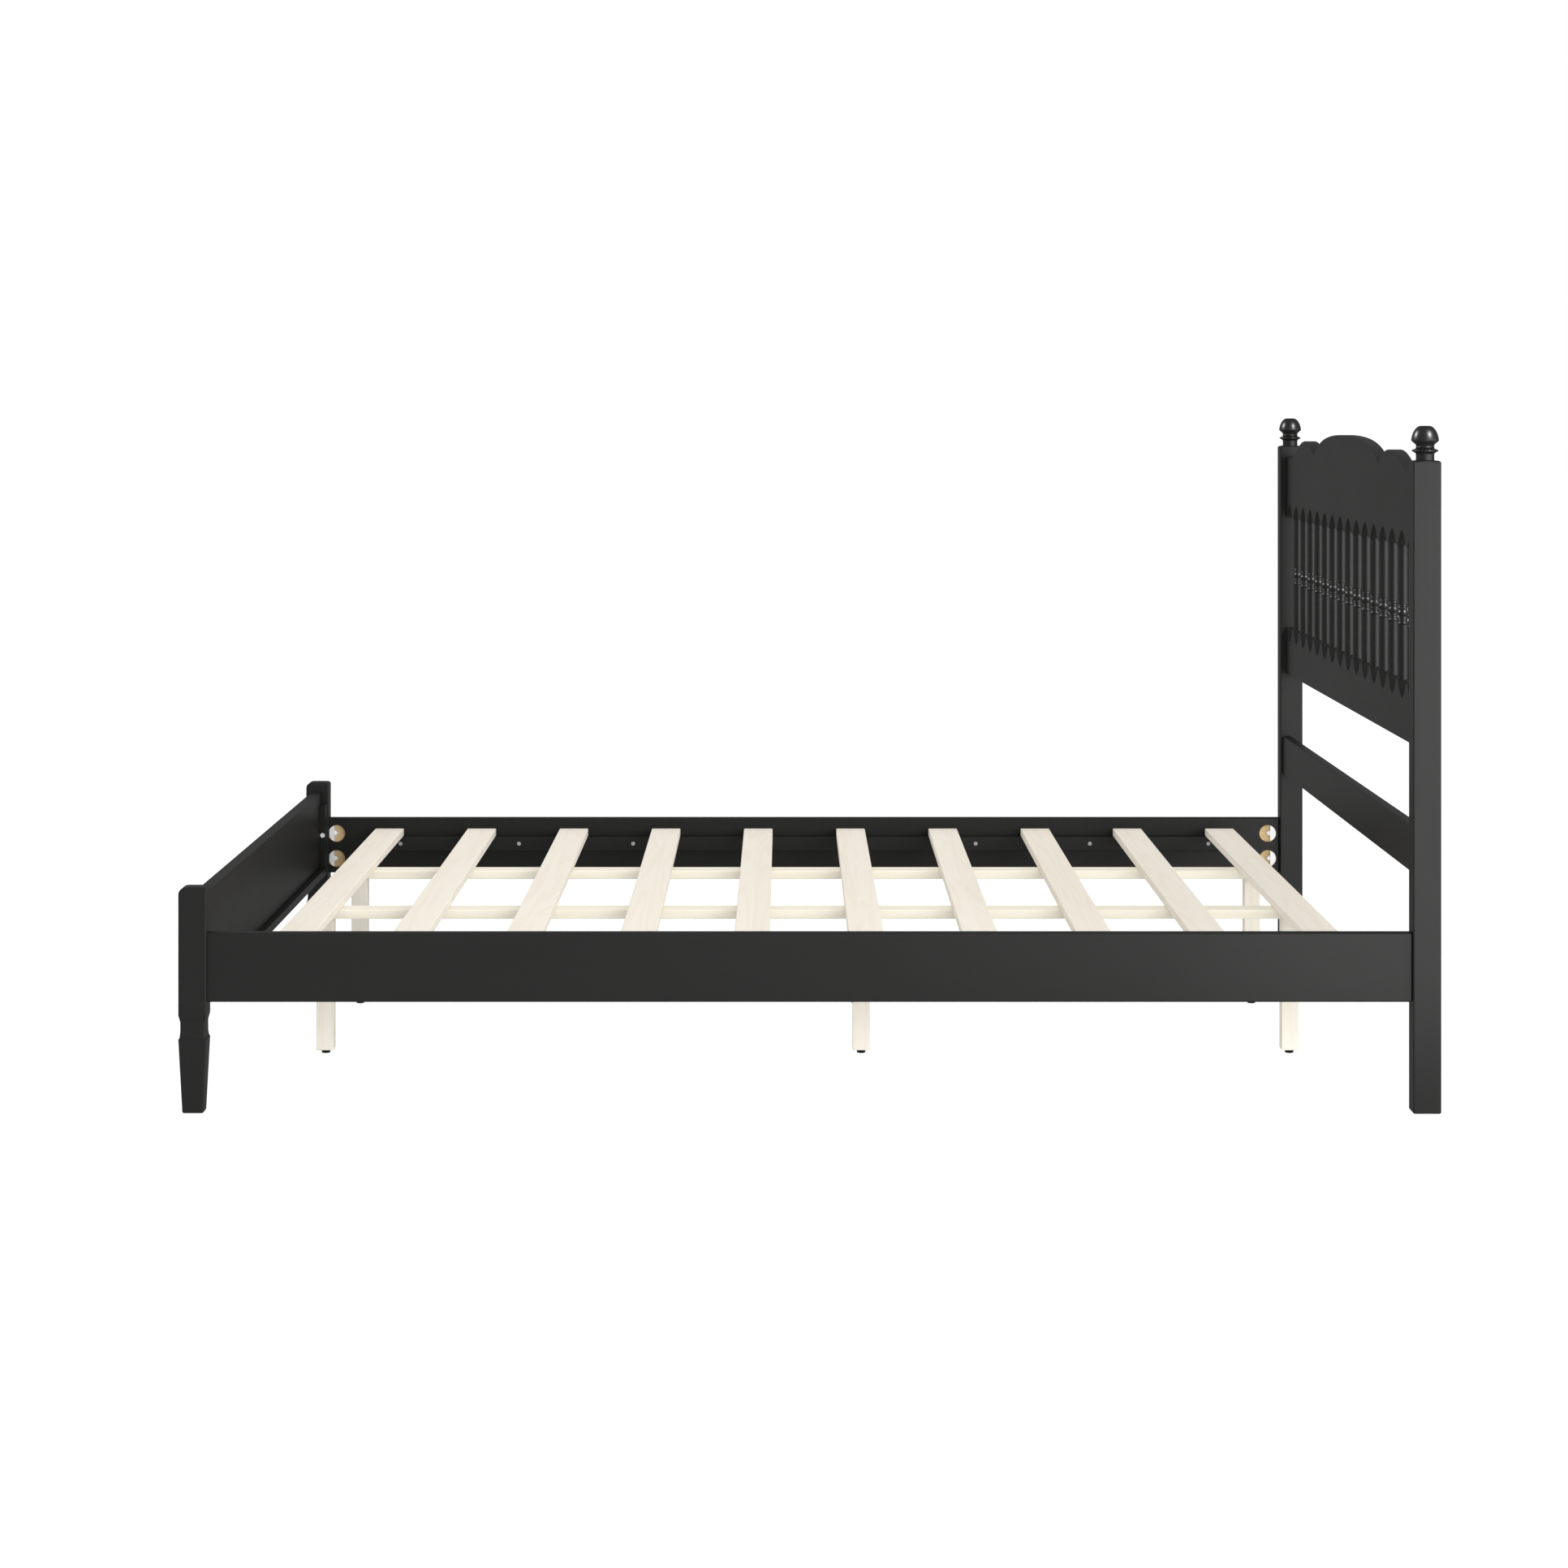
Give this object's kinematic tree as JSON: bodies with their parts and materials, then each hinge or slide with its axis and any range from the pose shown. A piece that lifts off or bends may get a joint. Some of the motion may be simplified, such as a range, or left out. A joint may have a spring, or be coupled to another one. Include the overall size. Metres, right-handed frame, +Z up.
{
  "type": "platform bed",
  "caption": "Queen platform bed with a black painted wood frame, scalloped spindle headboard, low panel footboard and pale slatted base on adjustable support legs.",
  "frame": {"origin": "floor level, at the middle of the whole bed's footprint", "axes": "+X towards the headboard, +Y across the bed, +Z up"},
  "size_m": [2.144, 1.6308, 1.1676],
  "materials": {
    "black_painted_wood": "satin black paint over smooth wood",
    "pale_wood": "bare planed wood with fine grain",
    "zinc_steel": "zinc plated",
    "black_plastic": "matte moulded"
  },
  "bodies": {
    "frame": {"headboard_post_right": "black_painted_wood", "headboard_post_left": "black_painted_wood", "finial_right": "black_painted_wood", "finial_left": "black_painted_wood", "headboard_crest_rail": "black_painted_wood", "headboard_lower_rail": "black_painted_wood", "headboard_cross_rail": "black_painted_wood", "spindle_01": "black_painted_wood", "spindle_02": "black_painted_wood", "spindle_03": "black_painted_wood", "spindle_04": "black_painted_wood", "spindle_05": "black_painted_wood", "spindle_06": "black_painted_wood", "spindle_07": "black_painted_wood", "spindle_08": "black_painted_wood", "spindle_09": "black_painted_wood", "spindle_10": "black_painted_wood", "spindle_11": "black_painted_wood", "spindle_12": "black_painted_wood", "spindle_13": "black_painted_wood", "spindle_14": "black_painted_wood", "spindle_15": "black_painted_wood", "foot_post_right": "black_painted_wood", "foot_post_left": "black_painted_wood", "footboard_panel": "black_painted_wood", "footboard_ledge": "black_painted_wood", "footboard_end_strips": "black_painted_wood", "side_rail_right": "black_painted_wood", "side_rail_left": "black_painted_wood", "side_cleat_right": "black_painted_wood", "side_cleat_left": "black_painted_wood", "slat_01": "pale_wood", "slat_02": "pale_wood", "slat_03": "pale_wood", "slat_04": "pale_wood", "slat_05": "pale_wood", "slat_06": "pale_wood", "slat_07": "pale_wood", "slat_08": "pale_wood", "slat_09": "pale_wood", "slat_10": "pale_wood", "support_beam_right": "pale_wood", "support_beam_left": "pale_wood", "support_leg_1": "pale_wood", "support_leg_2": "pale_wood", "support_leg_3": "pale_wood", "support_leg_4": "pale_wood", "support_leg_5": "pale_wood", "support_leg_6": "pale_wood", "bed_bolts": "zinc_steel", "half_moon_washers": "zinc_steel", "bolt_nuts": "zinc_steel", "wood_screws": "zinc_steel", "leg_screws": "zinc_steel"},
    "glide_1": {"leveling_glide_1": "black_plastic"},
    "glide_2": {"leveling_glide_2": "black_plastic"},
    "glide_3": {"leveling_glide_3": "black_plastic"},
    "glide_4": {"leveling_glide_4": "black_plastic"},
    "glide_5": {"leveling_glide_5": "black_plastic"},
    "glide_6": {"leveling_glide_6": "black_plastic"}
  },
  "joints": [
    {"name": "glide_1_screw_out", "type": "slide", "parent": "frame", "child": "glide_1", "axis": [0, 0, -1], "range_m": [0, 0.012]},
    {"name": "glide_2_screw_out", "type": "slide", "parent": "frame", "child": "glide_2", "axis": [0, 0, -1], "range_m": [0, 0.012]},
    {"name": "glide_3_screw_out", "type": "slide", "parent": "frame", "child": "glide_3", "axis": [0, 0, -1], "range_m": [0, 0.012]},
    {"name": "glide_4_screw_out", "type": "slide", "parent": "frame", "child": "glide_4", "axis": [0, 0, -1], "range_m": [0, 0.012]},
    {"name": "glide_5_screw_out", "type": "slide", "parent": "frame", "child": "glide_5", "axis": [0, 0, -1], "range_m": [0, 0.012]},
    {"name": "glide_6_screw_out", "type": "slide", "parent": "frame", "child": "glide_6", "axis": [0, 0, -1], "range_m": [0, 0.012]}
  ]
}
